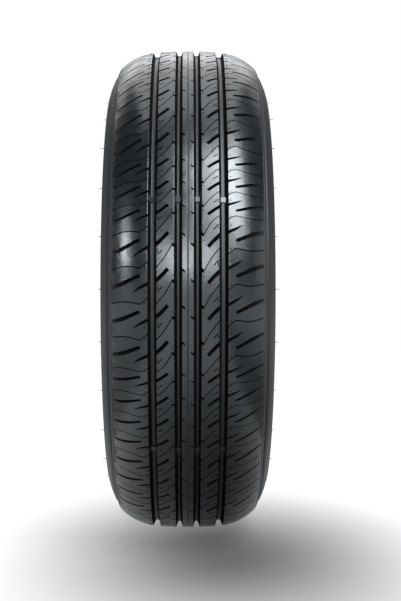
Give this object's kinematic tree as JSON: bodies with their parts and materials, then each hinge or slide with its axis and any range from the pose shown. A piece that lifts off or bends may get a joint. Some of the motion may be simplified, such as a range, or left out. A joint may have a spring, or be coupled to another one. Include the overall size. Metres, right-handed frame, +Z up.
{
  "type": "car tyre",
  "caption": "Radial car tyre with a grooved and slotted tread, plain bulged sidewalls and beads that seat on a wheel rim.",
  "frame": {"origin": "middle of the wheel: on the axle line, midway between the sidewalls", "axes": "+Y along the axle, which is the axis of the bead seats; +Z up, with the tyre standing on its tread; +X towards the viewer of the picture"},
  "size_m": [0.635, 0.203, 0.6349],
  "materials": {
    "tyre_rubber": "moulded black rubber, satin"
  },
  "bodies": {
    "root": {"tyre": "tyre_rubber"}
  },
  "joints": []
}
